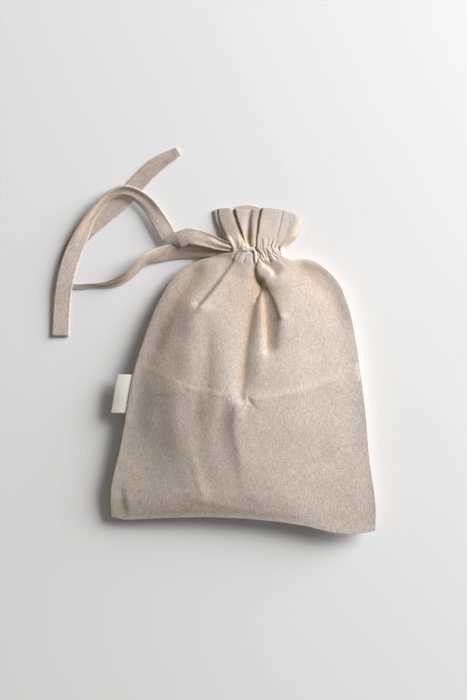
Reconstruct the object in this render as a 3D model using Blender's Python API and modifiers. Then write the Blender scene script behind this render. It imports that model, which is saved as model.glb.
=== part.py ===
# Linen bread bag lying on its back: two sewn panels gathered at the neck by a flat tie, and a label tab.
# Tables are in millimetres. +X is to the bag's right, +Y towards the neck, +Z up from the surface it lies on,
# and the origin is the middle of the flat patch that it rests on.
import math

import bmesh
import bpy
import numpy as np

# Driving dimensions.
millimetre = 0.001
panelThickness = 1.0
tieThickness = 1.2
tieWidth = 18.5
labelThickness = 1.0
seamHalfGap = 0.65
hemRoll = 34.0
bedRoll = 28.0
seamFlat = 9.0
leftCurve, rightCurve, hemCurve, bedCurve, flatCurve = 2.0, 1.8, 2.4, 2.0, 1.6
partingEase = 8.0
neckPleats = 9
neckPleatPhase = 1.2
neckPleatHeight = 1.5
backPleatShare = 0.8
tableClearance = 0.05
frontColumns = 52
backColumns = 30
rowsPerSection = (3, 3, 3, 3, 3, 3, 3, 3, 3, 3, 3, 2, 2, 2)

# The loft's sections, hem to mouth. Each row gives where the section meets the left and right seams, how far its
# middle hangs below the line between them, the height of both seams, the height of the front's middle (crown) and
# of the back's middle (bed), and how wide the rolled sides are.
sectionColumns = ("name", "leftX", "leftY", "rightX", "rightY", "sag", "leftLift", "rightLift",
                  "crown", "bed", "leftRoll", "rightRoll", "gather")
sections = (
    ("hem",       -143, -129, 147.5, -143.5,  0,   7.0,  3.0, 17.0, 0.5, 45, 70, 0.0),
    ("lower",     -143,  -97, 147.5, -112,    0,   9.5,  3.5, 18.5, 0.5, 45, 70, 0.0),
    ("low",       -133,  -53, 141,    -65,    0,  11.0,  4.5, 20.5, 0.5, 45, 65, 0.0),
    ("belly",     -126,  -14, 137,    -20,    0,  11.0,  5.0, 22.0, 0.5, 45, 60, 0.0),
    ("crease",    -119,   26, 131.5,   26,    0,  10.0,  5.0, 23.5, 0.5, 42, 55, 0.0),
    ("upper",     -109,   66, 125.5,   66,    6,   9.0,  5.0, 23.0, 0.5, 40, 50, 0.0),
    ("high",       -95,  105, 118,    101,   15,   8.0,  5.5, 22.5, 0.5, 38, 46, 0.0),
    ("shoulder",   -76,  137, 105,    131,   21,   8.0,  6.5, 21.5, 0.7, 34, 42, 0.1),
    ("turn",       -48,  153, 82,     151,   20,   8.5,  8.0, 20.0, 1.3, 28, 32, 0.4),
    ("throat",     -23,  160, 61,     156,    9,   9.0,  9.0, 18.0, 2.2, 20, 20, 0.8),
    ("bandFoot",   -10,  163, 50,     158,    1,   9.3,  9.3, 16.5, 2.8, 13, 13, 1.0),
    ("bandHead",    -7,  173, 46,     168,   -1,   9.3,  9.3, 16.5, 2.8, 12, 12, 1.0),
    ("ruffleFoot", -16,  186, 57,     178,   -3,   9.5,  9.5, 18.0, 2.6, 13, 14, 0.4),
    ("ruffle",     -24,  199, 66,     188,   -6,   9.8,  9.8, 19.0, 2.4, 15, 16, 0.1),
    ("mouth",      -30,  210, 70,     196,   -8,  10.0, 10.0, 19.5, 2.4, 16, 18, 0.0),
)

# Where the edge at the hem and at each panel's mouth leaves its section's line: across (-1 left to 1 right), then
# how far along Y.
hemLine = ((-1.0, 0), (-0.9, -2.5), (-0.48, 3.5), (-0.23, 6.0), (0.04, 6.0), (0.27, 4.5), (0.49, 1.0),
           (0.65, -4.0), (0.79, -5.5), (0.92, -3.0), (1.0, 0))
mouthLine = ((-1.0, 0), (-0.85, 0.5), (-0.6, -0.5), (-0.45, -2.5), (-0.05, -2.0), (0.1, 2.0), (0.52, 4.0),
             (0.75, 4.5), (0.9, 2.5), (1.0, 0))

backMouthLine = ((-1.0, 0), (-0.6, 0.5), (-0.4, 2.5), (-0.2, 3.5), (0.0, 2.0), (0.3, 1.5), (0.6, 3.0), (1.0, 0))

# Places along the loft, counted in sections: where body folds fade out, where the ruffle starts, how far up the
# hem's and the mouth's own lines are felt, and the mouth itself.
foldsFadeFrom, foldsFadeTo = 8.6, 9.8
bandHeadPlace, ruffleStart = 11, 11.8
edgeLineReach = 2
mouthPlace = len(sections) - 1

# Folds of the front panel. Each is a shallow arc from start to end; bow is how far its middle swings to the left
# of that direction. Height is up for a ridge and down for a trough, and left and right are its widths to each side.
foldColumns = ("name", "startX", "startY", "endX", "endY", "bow", "startHeight", "endHeight", "left", "right", "fade")
folds = (
    ("leftPleat",     -14,  153,  -51,  100,   2,  3.0,  2.2,  4.0,  6.0,  7),
    ("leftCrease",    -10,  150,  -45,   99,   2, -4.0, -1.5,  3.0,  3.0,  6),
    ("leftHollow",    -60,  121,  -94,   50,   3, -4.5, -4.5, 22.0, 10.0, 16),
    ("leftRidge",     -50,   95,  -46,   12,   0,  1.5,  2.0,  9.0,  8.0, 10),
    ("softTrough",    -31,   84,  -30,   14,   0, -1.8, -1.8,  4.0,  4.0, 14),
    ("broadRidge",    -12,  148,   -6,   -8,   4,  1.0,  2.5, 12.0, 11.0, 14),
    ("centreCrease",   16,  150,   24,  122,  -3, -4.5, -4.5,  4.0,  4.0,  7),
    ("centreBranch",   22,  120,    3,    2,   4, -4.0, -3.0,  3.5,  3.5, 10),
    ("centreRidge",    27,  116,   22,   36,  -3,  2.0,  1.0,  6.0,  6.0, 12),
    ("rightWedge",     30,  120,   38,   56,   4, -4.0, -4.0,  6.0,  4.5, 10),
    ("rightLip",       20,  148,   44,   98,   3,  2.0,  3.0,  9.0,  4.0, 12),
    ("neckPit",        33,  149,   43,  141,   0, -3.5, -3.0,  5.0,  5.0,  5),
    ("shoulderFold",   72,  148,  116,   84,  10, -2.2, -1.6,  6.0,  6.0, 14),
    ("creaseLeft",   -114,   44,  -12,    4, -10,  1.6,  1.6,  8.0, 22.0, 10),
    ("creaseRight",    10,    4,  128,   31,  -7,  1.4,  1.6,  8.0, 22.0, 10),
    ("lowWedge",      -10,   -2,    4,  -90,  -5, -3.5, -1.5,  6.0,  6.0, 12),
    ("lowCurl",       -70,    8,  -24, -108, -16,  2.5,  2.0,  9.0,  8.0, 14),
    ("lowHollow",    -101,   16,  -92,  -92,   2, -4.5, -4.0, 20.0, 14.0, 20),
    ("lowTrough",     -40,    2,  -35,  -32,   0, -2.4, -1.6,  5.0,  5.0, 10),
)

# Pleats of the header, as troughs between them. Across is where each one lies at the band and at the mouth.
pleatColumns = ("name", "bandAcross", "mouthAcross", "depth", "width")
pleats = (
    ("edgeTuck",    -0.93, -0.88, 3.0, 2.4),
    ("leftTuck",    -0.66, -0.58, 4.5, 2.4),
    ("deepTuck",    -0.42, -0.20, 5.5, 3.0),
    ("middleTuck",  -0.10,  0.05, 4.0, 2.2),
    ("rightTuck",    0.55,  0.55, 2.5, 2.2),
    ("lobeTuck",     0.86,  0.80, 1.5, 3.0),
)

# Stretches of the left seam that part to let something through: from and to along Y, and half the parting.
partings = (
    ("label", -20, 35, 1.35),
    ("tieMouth", 162, 176, 6.0),
)

# The tie's route: its end by the left edge, over itself, into the neck, round inside the gather and out again to
# its upper end. Roll is the strip's lean about its own line, 0 lying flat, and spread is its share of the width.
tieColumns = ("name", "x", "y", "z", "roll", "spread")
tieRoute = (
    ("leftEnd",     -200.0,  70.0,  2.5,   4, 1.00),
    ("leftLow",     -198.5, 100.0,  9.0,   4, 1.00),
    ("leftMiddle",  -195.5, 126.0, 14.5,   8, 1.00),
    ("leftHigh",    -189.0, 153.0, 14.5,  24, 1.00),
    ("leftTurn",    -178.5, 178.0, 13.0,  44, 1.00),
    ("climb",       -166.0, 202.0, 11.0,  62, 1.00),
    ("crest",       -149.5, 222.0, 10.5,  70, 1.00),
    ("top",         -134.0, 231.5, 12.0,  70, 0.95),
    ("overLoop",    -119.0, 229.0, 11.5,  60, 0.95),
    ("descend",     -104.0, 217.5,  9.0,  42, 0.90),
    ("descendLow",   -92.5, 201.0,  8.0,   6, 0.85),
    ("corner",       -82.0, 182.5,  9.0, -48, 0.90),
    ("bend",         -69.0, 178.3,  9.5, -38, 0.95),
    ("beforeNeck",   -51.0, 177.0, 11.5, -44, 0.80),
    ("atNeck",       -32.0, 175.3, 13.0, -32, 0.60),
    ("inMouth",      -14.0, 169.5, 12.6,  -8, 0.48),
    ("frontRun",       2.0, 167.0, 12.4,   0, 0.46),
    ("frontEnd",      32.0, 165.0, 12.4,   0, 0.46),
    ("round",         39.0, 164.6,  9.2,   0, 0.46),
    ("backEnd",       32.0, 165.0,  6.0,   0, 0.46),
    ("backRun",        2.0, 167.0,  6.0,   0, 0.46),
    ("outMouth",     -14.0, 168.0,  6.0,   8, 0.48),
    ("besideNeck",   -33.0, 166.5,  5.0,  34, 0.55),
    ("underFront",   -56.0, 165.0,  4.5,  38, 0.68),
    ("underBend",    -74.0, 163.9,  4.5,  32, 0.84),
    ("turnDown",     -90.0, 160.4,  4.5,  20, 0.94),
    ("slope",       -106.4, 153.0,  6.0,  38, 1.00),
    ("slopeLow",    -126.5, 136.0,  8.5,  62, 1.00),
    ("onEdge",      -146.0, 126.2,  9.2,  74, 1.00),
    ("onEdgeEnd",   -168.0, 123.4,  8.0,  72, 0.80),
    ("under",       -186.0, 123.5,  5.0,  62, 0.58),
    ("underTurn",   -195.5, 133.5,  4.0,  48, 0.55),
    ("underClimb",  -196.0, 150.0,  3.0,  30, 0.62),
    ("emerge",      -187.5, 168.5,  1.6,  12, 0.85),
    ("flat",        -169.0, 188.5,  0.6,   0, 1.00),
    ("flatMiddle",  -148.0, 206.5,  0.6,   0, 1.00),
    ("underTop",    -130.5, 221.0,  0.6,   0, 1.00),
    ("upper",       -116.5, 237.5,  0.6,   0, 1.00),
    ("upperBend",    -99.5, 255.0,  1.6,  14, 0.98),
    ("upperLow",     -86.0, 265.5,  3.0,  30, 0.92),
    ("upperEnd",     -68.5, 275.3,  5.0,  48, 0.78),
)
tieSteps = 3

# The label tab: where it leaves the seam, how far it reaches in and out, and its run along the seam.
labelTop = 28.0
labelBottom = -14.5
labelReach = 17.0
labelTuck = 4.0
labelDroop = 2.0


def column(table, names, name):
    return np.array([row[names.index(name)] for row in table], dtype=float)


# A smooth curve through a column's values, at place 0 for the first value, 1 for the second and so on.
def curveThrough(values, place):
    index = np.clip(place.astype(int), 0, len(values) - 2)
    part = place - index
    padded = np.concatenate(([2 * values[0] - values[1]], values, [2 * values[-1] - values[-2]]))
    before, start, end, after = (padded[index + step] for step in range(4))
    return 0.5 * (2 * start + (end - before) * part + (2 * before - 5 * start + 4 * end - after) * part ** 2
                  + (3 * start - before - 3 * end + after) * part ** 3)


# The same column eased from value to value, which never goes past either of them.
def easeThrough(values, place):
    index = np.clip(place.astype(int), 0, len(values) - 2)
    part = place - index
    eased = part * part * (3 - 2 * part)
    return values[index] + (values[index + 1] - values[index]) * eased


def smoothStep(low, high, value):
    part = np.clip((value - low) / (high - low), 0, 1)
    return part * part * (3 - 2 * part)


def tableLine(line, across):
    stations = np.array(line, dtype=float)
    return np.interp(across, stations[:, 0], stations[:, 1])


# Plan position of the panels at each place: across from seam to seam, along from hem to mouth in sections.
def planPoints(across, place, mouthEdge=mouthLine):
    leftX, leftY, rightX, rightY = (curveThrough(column(sections, sectionColumns, name), place)
                                    for name in ("leftX", "leftY", "rightX", "rightY"))
    sag = curveThrough(column(sections, sectionColumns, "sag"), place)
    share = (across + 1) / 2
    x = leftX + (rightX - leftX) * share
    y = leftY + (rightY - leftY) * share - sag * (1 - across ** 2)
    y = y + tableLine(hemLine, across) * (1 - smoothStep(0, edgeLineReach, place))
    y = y + tableLine(mouthEdge, across) * smoothStep(mouthPlace - edgeLineReach, mouthPlace, place)
    return x, y


# Height of the seam all round: eased along each side and straight across between the two.
def seamHeight(across, place):
    left = easeThrough(column(sections, sectionColumns, "leftLift"), place)
    right = easeThrough(column(sections, sectionColumns, "rightLift"), place)
    return left + (right - left) * (across + 1) / 2


# Half the gap between the panels along their edges, wider where the left seam parts.
def edgeHalfGap(across, y):
    gap = np.full_like(y, seamHalfGap)
    for name, low, high, halfGap in partings:
        ends = min(partingEase, (high - low) / 2)
        share = smoothStep(low - ends, low, y) * (1 - smoothStep(high, high + ends, y))
        gap = np.maximum(gap, seamHalfGap + (halfGap - seamHalfGap) * share * (across < 0))
    return gap


# Share of the full height at each distance in from an edge: 0 on the edge, 1 where the roll ends.
def rolled(distance, roll, power):
    return 1 - (1 - np.clip(distance / roll, 0, 1)) ** power


# Height that one fold adds: a bell across the arc, fading past its two ends.
def foldHeight(fold, x, y):
    name, startX, startY, endX, endY, bow, startHeight, endHeight, left, right, fade = fold
    length = math.hypot(endX - startX, endY - startY)
    alongX, alongY = (endX - startX) / length, (endY - startY) / length
    along = (x - startX) * alongX + (y - startY) * alongY
    share = np.clip(along / length, 0, 1)
    aside = (y - startY) * alongX - (x - startX) * alongY - bow * 4 * share * (1 - share)
    past = np.maximum(-along, along - length).clip(0)
    width = np.where(aside > 0, left, right)
    height = startHeight + (endHeight - startHeight) * share
    return height * np.exp(-(aside / width) ** 2 - (past / fade) ** 2)


def foldsHeight(x, y, place):
    body = 1 - smoothStep(foldsFadeFrom, foldsFadeTo, place)
    return body * sum(foldHeight(fold, x, y) for fold in folds)


# The gather: even small waves round the neck, which open out and die away above and below the band.
def gatherHeight(across, place):
    gather = easeThrough(column(sections, sectionColumns, "gather"), place)
    return gather * neckPleatHeight * np.cos(math.pi * neckPleats * across + neckPleatPhase)


def pleatsHeight(across, place, halfWidth):
    ruffle = smoothStep(bandHeadPlace, ruffleStart, place)
    toMouth = np.clip((place - bandHeadPlace) / (mouthPlace - bandHeadPlace), 0, 1)
    total = np.zeros_like(across)
    for name, bandAcross, mouthAcross, depth, width in pleats:
        centre = bandAcross + (mouthAcross - bandAcross) * toMouth
        total = total - depth * np.exp(-((across - centre) * halfWidth / width) ** 2)
    return ruffle * total


# Distances in from both seams and from the hem, measured across and along the panel, and half its width there.
def edgeDistances(across, place):
    x, y = planPoints(across, place)
    leftX = planPoints(np.full_like(across, -1.0), place)[0]
    rightX = planPoints(np.full_like(across, 1.0), place)[0]
    hemY = planPoints(across, np.zeros_like(place))[1]
    return x - leftX, rightX - x, np.maximum(y - hemY, 0), (rightX - leftX) / 2


def frontHeight(across, place):
    x, y = planPoints(across, place)
    fromLeft, fromRight, fromHem, halfWidth = edgeDistances(across, place)
    leftRoll = easeThrough(column(sections, sectionColumns, "leftRoll"), place)
    rightRoll = easeThrough(column(sections, sectionColumns, "rightRoll"), place)
    crown = easeThrough(column(sections, sectionColumns, "crown"), place)
    sides = rolled(fromLeft, leftRoll, leftCurve) * rolled(fromRight, rightRoll, rightCurve)
    shape = sides * rolled(fromHem, hemRoll, hemCurve)
    edge = seamHeight(across, place) + edgeHalfGap(across, y)
    detail = foldsHeight(x, y, place) + gatherHeight(across, place) + pleatsHeight(across, place, halfWidth)
    flat = rolled(np.minimum(fromLeft, fromRight), seamFlat, flatCurve)
    return edge + (crown - edge) * shape + detail * flat * shape


def backHeight(across, place):
    x, y = planPoints(across, place)
    fromLeft, fromRight, fromHem, halfWidth = edgeDistances(across, place)
    bed = easeThrough(column(sections, sectionColumns, "bed"), place)
    roll = np.minimum(bedRoll, halfWidth / 2)
    sides = rolled(fromLeft, roll, bedCurve) * rolled(fromRight, roll, bedCurve)
    flat = sides * rolled(fromHem, bedRoll, bedCurve)
    edge = seamHeight(across, place) - edgeHalfGap(across, y)
    return edge + (bed - edge) * flat - gatherHeight(across, place) * flat * backPleatShare


# A flat grid of columns by rows, for a piece's own function to lay out.
def gridObject(name, collection, columns, rows):
    mesh = bpy.data.meshes.new(name)
    shape = bmesh.new()
    bmesh.ops.create_grid(shape, x_segments=columns, y_segments=rows, size=1.0)
    shape.to_mesh(mesh)
    shape.free()
    mesh.shade_smooth()
    piece = bpy.data.objects.new(name, mesh)
    collection.objects.link(piece)
    return piece


def gridPlaces(piece):
    flat = np.empty(len(piece.data.vertices) * 3)
    piece.data.vertices.foreach_get("co", flat)
    flat = flat.reshape(-1, 3)
    return flat[:, 0].copy(), flat[:, 1].copy()


def setPoints(piece, x, y, z):
    points = np.stack((x, y, z), axis=1) * millimetre
    piece.data.vertices.foreach_set("co", points.ravel())
    piece.data.update()


def thicken(piece, thickness):
    solidify = piece.modifiers.new("Thickness", "SOLIDIFY")
    solidify.thickness = thickness * millimetre
    solidify.offset = 0.0


def linenMaterial(name, colour):
    material = bpy.data.materials.new(name)
    material.use_nodes = True
    surface = material.node_tree.nodes["Principled BSDF"]
    surface.inputs["Base Color"].default_value = colour
    surface.inputs["Roughness"].default_value = 0.9
    surface.inputs["Metallic"].default_value = 0.0
    return material


# Places along the loft: each section's stretch is cut into its own number of rows.
def sectionPlaces(share):
    steps = sum(rowsPerSection)
    starts = np.concatenate(([0], np.cumsum(rowsPerSection)))
    return np.interp(share * steps, starts, np.arange(len(starts)))


def makePanel(name, collection, columns, mouthEdge, heightOf, material):
    panel = gridObject(name, collection, columns, sum(rowsPerSection))
    across, along = gridPlaces(panel)
    place = sectionPlaces((along + 1) / 2)
    x, y = planPoints(across, place, mouthEdge)
    setPoints(panel, x, y, heightOf(across, place))
    thicken(panel, panelThickness)
    panel.data.materials.append(material)
    return panel


# The strip's cross direction in plan: square to the route, and held along Y on the loop inside the neck, where the
# route turns back under itself. Past that turn it is on the route's other hand.
def tieCross(place):
    last = len(tieRoute) - 1
    ahead, behind = np.clip(place + 0.05, 0, last), np.clip(place - 0.05, 0, last)
    stepX, stepY = (curveThrough(column(tieRoute, tieColumns, name), ahead)
                    - curveThrough(column(tieRoute, tieColumns, name), behind) for name in ("x", "y"))
    names = [row[0] for row in tieRoute]
    enters, turns, leaves = (names.index(name) for name in ("inMouth", "round", "outMouth"))
    hand = np.where(place > turns, -1.0, 1.0) / np.maximum(np.hypot(stepX, stepY), 1e-9)
    inside = smoothStep(enters, enters + 1, place) * (1 - smoothStep(leaves - 1, leaves, place))
    return -stepY * hand * (1 - inside), stepX * hand * (1 - inside) + inside


# The tie is a strip two cells wide, laid along its route and leaned by the roll.
def makeTie(collection, material):
    tie = gridObject("tie", collection, 2, (len(tieRoute) - 1) * tieSteps)
    across, along = gridPlaces(tie)
    place = (along + 1) / 2 * (len(tieRoute) - 1)
    x, y, z, roll, spread = (curveThrough(column(tieRoute, tieColumns, name), place)
                             for name in ("x", "y", "z", "roll", "spread"))
    crossX, crossY = tieCross(place)
    half = across * spread * tieWidth / 2
    lean = np.radians(roll)
    lowest = (tieThickness * np.cos(lean) + abs(np.sin(lean)) * spread * tieWidth) / 2 + tableClearance
    setPoints(tie, x + crossX * half * np.cos(lean), y + crossY * half * np.cos(lean),
              np.maximum(z, lowest) + half * np.sin(lean))
    thicken(tie, tieThickness)
    tie.data.materials.append(material)
    return tie


# The label is tape sewn into the parted seam, from just inside the edge outwards.
def makeLabel(collection, material):
    label = gridObject("label_tab", collection, 3, 4)
    across, along = gridPlaces(label)
    seamY = (labelTop + labelBottom) / 2 + along * (labelTop - labelBottom) / 2
    place = np.interp(seamY, column(sections, sectionColumns, "leftY"), np.arange(len(sections)))
    left = np.full_like(place, -1.0)
    seamX, placedY = planPoints(left, place)
    outward = labelReach * (1 - across) / 2 - labelTuck * (1 + across) / 2
    z = seamHeight(left, place) - labelDroop * (outward / labelReach).clip(0) ** 2
    setPoints(label, seamX - outward, seamY, z)
    thicken(label, labelThickness)
    label.data.materials.append(material)
    return label


scene = bpy.context.scene
for item in list(bpy.data.objects):
    bpy.data.objects.remove(item, do_unlink=True)
bag = bpy.data.collections.new("Linen bread bag")
scene.collection.children.link(bag)
linen = linenMaterial("Linen", (0.58, 0.50, 0.43, 1))
tape = linenMaterial("Cream tape", (0.80, 0.79, 0.70, 1))
makePanel("front_panel", bag, frontColumns, mouthLine, frontHeight, linen)
makePanel("back_panel", bag, backColumns, backMouthLine, backHeight, linen)
makeTie(bag, linen)
makeLabel(bag, tape)
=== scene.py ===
# Linen bread bag lying flat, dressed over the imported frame. Z is up and Y runs from the hem to the neck.
# The tables are in millimetres, but the light and the floor in metres, as the meshes are.
import math

import bpy
import numpy as np
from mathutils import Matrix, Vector


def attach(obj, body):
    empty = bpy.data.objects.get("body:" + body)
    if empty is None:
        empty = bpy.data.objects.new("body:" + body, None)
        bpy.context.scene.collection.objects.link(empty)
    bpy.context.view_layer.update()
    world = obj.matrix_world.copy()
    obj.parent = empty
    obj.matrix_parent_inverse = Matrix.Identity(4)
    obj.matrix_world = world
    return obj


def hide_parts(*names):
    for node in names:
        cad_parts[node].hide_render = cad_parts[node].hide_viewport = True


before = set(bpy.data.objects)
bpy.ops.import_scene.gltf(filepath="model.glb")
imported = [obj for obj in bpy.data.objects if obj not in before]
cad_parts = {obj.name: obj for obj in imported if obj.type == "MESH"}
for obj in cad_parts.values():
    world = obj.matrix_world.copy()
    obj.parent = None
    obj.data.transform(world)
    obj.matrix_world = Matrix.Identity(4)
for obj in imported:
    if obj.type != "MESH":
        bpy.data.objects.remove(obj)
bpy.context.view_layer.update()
millimetre = 0.001
print("frame loaded")


# One column of a table, from its first row to its last.
def column(table, name):
    place = table["columns"].index(name)
    return np.array([row[place] for row in table["rows"]], dtype=float)


# Where the row of this name stands in its table, counted from 0.
def rowPlace(table, name):
    return [row[0] for row in table["rows"]].index(name)


# A smooth curve through values at places 0, 1, 2 and so on: a cubic with the neighbours' mean slope.
def curveThrough(values, place):
    index = np.clip(place.astype(int), 0, len(values) - 2)
    part = place - index
    padded = np.concatenate(([2 * values[0] - values[1]], values, [2 * values[-1] - values[-2]]))
    before, start, end, after = (padded[index + step] for step in range(4))
    return 0.5 * (2 * start + (end - before) * part + (2 * before - 5 * start + 4 * end - after) * part ** 2
                  + (3 * start - before - 3 * end + after) * part ** 3)


# These columns of a table as such curves.
def curves(table, names, place):
    return [curveThrough(column(table, name), place) for name in names.split()]


# The same values eased from one to the next, never going past either.
def easeThrough(values, place):
    index = np.clip(place.astype(int), 0, len(values) - 2)
    return values[index] + (values[index + 1] - values[index]) * smoothStep(index, index + 1, place)


# From 0 at low to 1 at high, level at both.
def smoothStep(low, high, value):
    part = np.clip((value - low) / (high - low), 0, 1)
    return part * part * (3 - 2 * part)


# A line through stations across the cloth, straight from one to the next.
def tableLine(line, across):
    return np.interp(across, *zip(*line))


# The length of a line of points, up to each of them.
def runLength(points):
    return np.concatenate(([0], np.cumsum(np.linalg.norm(np.diff(points, axis=0), axis=1))))


# A sum of sines, each given by its size, its rate and where it starts.
def sines(terms, value):
    return sum(size * np.sin(value * rate + start) for size, rate, start in terms)


latticeSize = 64  # bumps each way before the noise repeats


# Even random bumps about one unit apart: a lattice of seeded values, eased between its points.
def latticeNoise(x, y, seed):
    lattice = np.random.default_rng(seed).uniform(-1, 1, (latticeSize, latticeSize))
    cellX, cellY = np.floor(x).astype(int), np.floor(y).astype(int)
    easeX, easeY = smoothStep(0, 1, x - cellX), smoothStep(0, 1, y - cellY)

    def bump(stepX, stepY):
        return lattice[(cellX + stepX) % latticeSize, (cellY + stepY) % latticeSize]

    low = bump(0, 0) + (bump(1, 0) - bump(0, 0)) * easeX
    high = bump(0, 1) + (bump(1, 1) - bump(0, 1)) * easeX
    return low + (high - low) * easeY


def addObject(name, data):
    made = bpy.data.objects.new(name, data)
    bpy.context.scene.collection.objects.link(made)
    return made


# Where the camera looks and how much it takes in.
view = {"middleX": -8.25, "middleY": 55.0, "tall": 770.0, "distance": 1500.0, "sensor": 36.0,
        "focusHeight": 12.0}


# Straight down on the cloth: at the focus height the frame is as tall as the view says.
def makeCamera():
    camera = bpy.data.cameras.new("Camera")
    camera.sensor_width = view["sensor"]
    camera.lens = view["sensor"] * (view["distance"] - view["focusHeight"]) / view["tall"]
    holder = addObject("Camera", camera)
    holder.location = Vector((view["middleX"], view["middleY"], view["distance"])) * millimetre
    bpy.context.scene.camera = holder


light = {"key": 535.0, "keyFrom": (3.62, 2.30, 1.50), "keySize": 3.0, "fill": 0.19,
         "fillColour": (1.0, 0.93, 0.85)}


# One broad low lamp from the right of the neck, aimed at the middle, and an even warm fill.
def makeLights():
    lamp = bpy.data.lights.new("Key", "AREA")
    lamp.energy = light["key"]
    lamp.size = light["keySize"]
    holder = addObject("Key", lamp)
    holder.location = light["keyFrom"]
    holder.rotation_euler = (-Vector(light["keyFrom"])).to_track_quat("-Z", "Y").to_euler()
    world = bpy.data.worlds.new("Room")
    world.use_nodes = True
    background = world.node_tree.nodes["Background"]
    background.inputs["Color"].default_value = (*light["fillColour"], 1)
    background.inputs["Strength"].default_value = light["fill"]
    bpy.context.scene.world = world
    bpy.context.scene.view_settings.view_transform = "Standard"


# A socket that can be used as a number in Python expressions.
class Value:
    def __init__(self, tree, socket):
        self.tree, self.socket = tree, socket

    def math(self, operation, *others, flipped=False):
        made = self.tree.nodes.new("ShaderNodeMath")
        made.operation = operation
        terms = (*others, self) if flipped else (self, *others)
        for slot, term in zip(made.inputs, terms):
            plug(term, slot)
        return Value(self.tree, made.outputs[0])

    def __add__(self, other):
        return self.math("ADD", other)

    def __sub__(self, other):
        return self.math("SUBTRACT", other)

    def __mul__(self, other):
        return self.math("MULTIPLY", other)

    def __pow__(self, other):
        return self.math("POWER", other)

    def __rsub__(self, other):
        return self.math("SUBTRACT", other, flipped=True)

    __radd__ = __add__
    __rmul__ = __mul__

    def clamped(self, low=0.0, high=1.0):
        return self.math("MAXIMUM", low).math("MINIMUM", high)


# Links a value into a socket, or sets the socket to a plain number, colour or vector.
def plug(term, slot):
    if isinstance(term, Value):
        term.tree.links.new(term.socket, slot)
    else:
        slot.default_value = term


# A material and its node tree.
class Finish:
    def __init__(self, name):
        self.material = bpy.data.materials.new(name)
        self.material.use_nodes = True
        self.tree = self.material.node_tree
        self.surface = self.tree.nodes["Principled BSDF"]

    # Any node by type: its settings first, then what goes into its sockets. Gives back one of its outputs.
    def node(self, kind, settings=None, inputs=None, output=0):
        made = self.tree.nodes.new("ShaderNode" + kind)
        for name, setting in (settings or {}).items():
            setattr(made, name, setting)
        for name, term in (inputs or {}).items():
            plug(term, made.inputs[name])
        return Value(self.tree, made.outputs[output])

    def mixColour(self, share, first, second, blend="MIX"):
        settings = {"data_type": "RGBA", "blend_type": blend}
        return self.node("Mix", settings, {0: share, 6: first, 7: second}, 2)

    def bump(self, height, look):
        return self.node("Bump", {}, {"Height": height, "Strength": look["bumpStrength"],
                                      "Distance": look["bumpDepth"] * millimetre})

    def attribute(self, name):
        return self.node("Attribute", {"attribute_name": name}, {}, "Fac")

    # The cloth's own measure in metres: the pair, and then its parts across and along.
    def clothPlace(self):
        place = self.node("UVMap", {"uv_map": "cloth"})
        sideways = self.node("SeparateXYZ", {}, {"Vector": place}, "X")
        return place, sideways, Value(self.tree, sideways.socket.node.outputs["Y"])

    def noise(self, place, stretch, detail=2.0):
        spread = self.node("VectorMath", {"operation": "MULTIPLY"}, {0: place, 1: stretch})
        return self.node("TexNoise", {}, {"Vector": spread, "Scale": 1.0, "Detail": detail}, "Fac")

    def feed(self, **sockets):
        for name, term in sockets.items():
            plug(term, self.surface.inputs[name.replace("_", " ")])
        return self.material


# Colours, with painted shade tints for steep sides and for hollows and seams, then how the fibre noises
# stretch across and along the cloth, and how much of each shows.
linen = {
    "light": (0.655, 0.576, 0.528, 1), "dark": (0.470, 0.398, 0.350, 1), "warm": (0.570, 0.478, 0.400, 1),
    "grey": (0.520, 0.492, 0.470, 1), "steep": (1.0, 0.96, 0.90, 1), "shadeTint": (0.96, 0.86, 0.73, 1),
    "pitch": 0.78, "pillowPower": 0.6, "wander": 1.2, "wanderNoise": (90, 90, 1), "weftNoise": (220, 640, 1),
    "warpNoise": (600, 150, 1), "speckNoise": (560, 400, 1), "patchNoise": (28, 22, 1),
    "weftShare": 0.46, "contrast": 3.8, "weaveShade": 0.15, "weaveMean": 0.6, "patchShare": 0.35,
    "warmFrom": 0.45, "warmRise": 2.2, "greyFrom": 0.5, "greyRise": 2.4, "wearShade": 0.06, "brightest": 1.2,
    "weaveBump": 0.45, "weftBump": 0.42, "warpBump": 0.7, "speckBump": 1.6, "bumpStrength": 0.7,
    "bumpDepth": 0.13, "roughness": 0.86, "roughnessSpread": 0.08, "sheen": 0.2, "sheenRoughness": 0.45,
    "specular": 0.25, "glowRadius": (1.0, 0.62, 0.40), "glowDepth": 1.2,
}
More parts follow.
